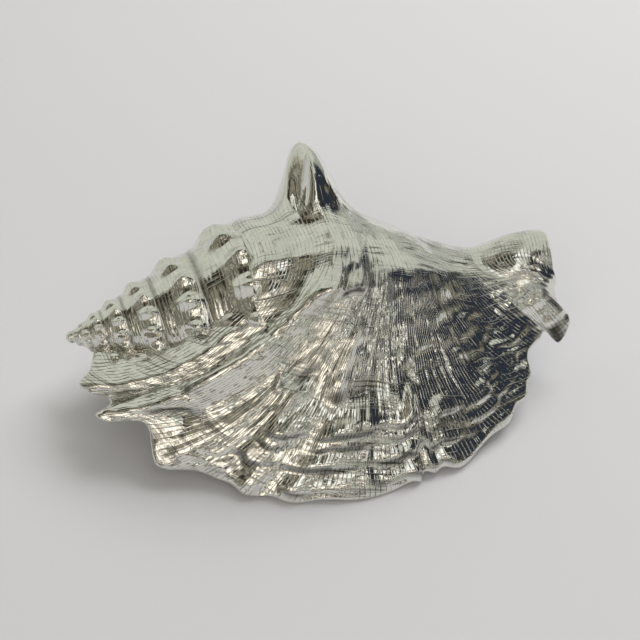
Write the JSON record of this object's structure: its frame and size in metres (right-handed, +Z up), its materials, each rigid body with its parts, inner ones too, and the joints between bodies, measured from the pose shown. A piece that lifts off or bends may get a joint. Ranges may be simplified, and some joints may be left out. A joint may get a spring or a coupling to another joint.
{
  "type": "silvered conch shell",
  "caption": "Silvered conch shell with a knobbed spire, a shoulder horn, a flared lip with three short lobes and an upturned canal, lying mouth down.",
  "frame": {"origin": "bottom centre of the shell's bounding box, on the table it lies on", "axes": "+X from the apex of the spire towards the canal, -Y towards the edge of the flared lip, +Z up"},
  "size_m": [0.1698, 0.1048, 0.0779],
  "materials": {
    "silver": "bright polished silver plate, tarnished dark in the grooves between its growth lines"
  },
  "bodies": {
    "root": {"shell": "silver"}
  },
  "joints": []
}
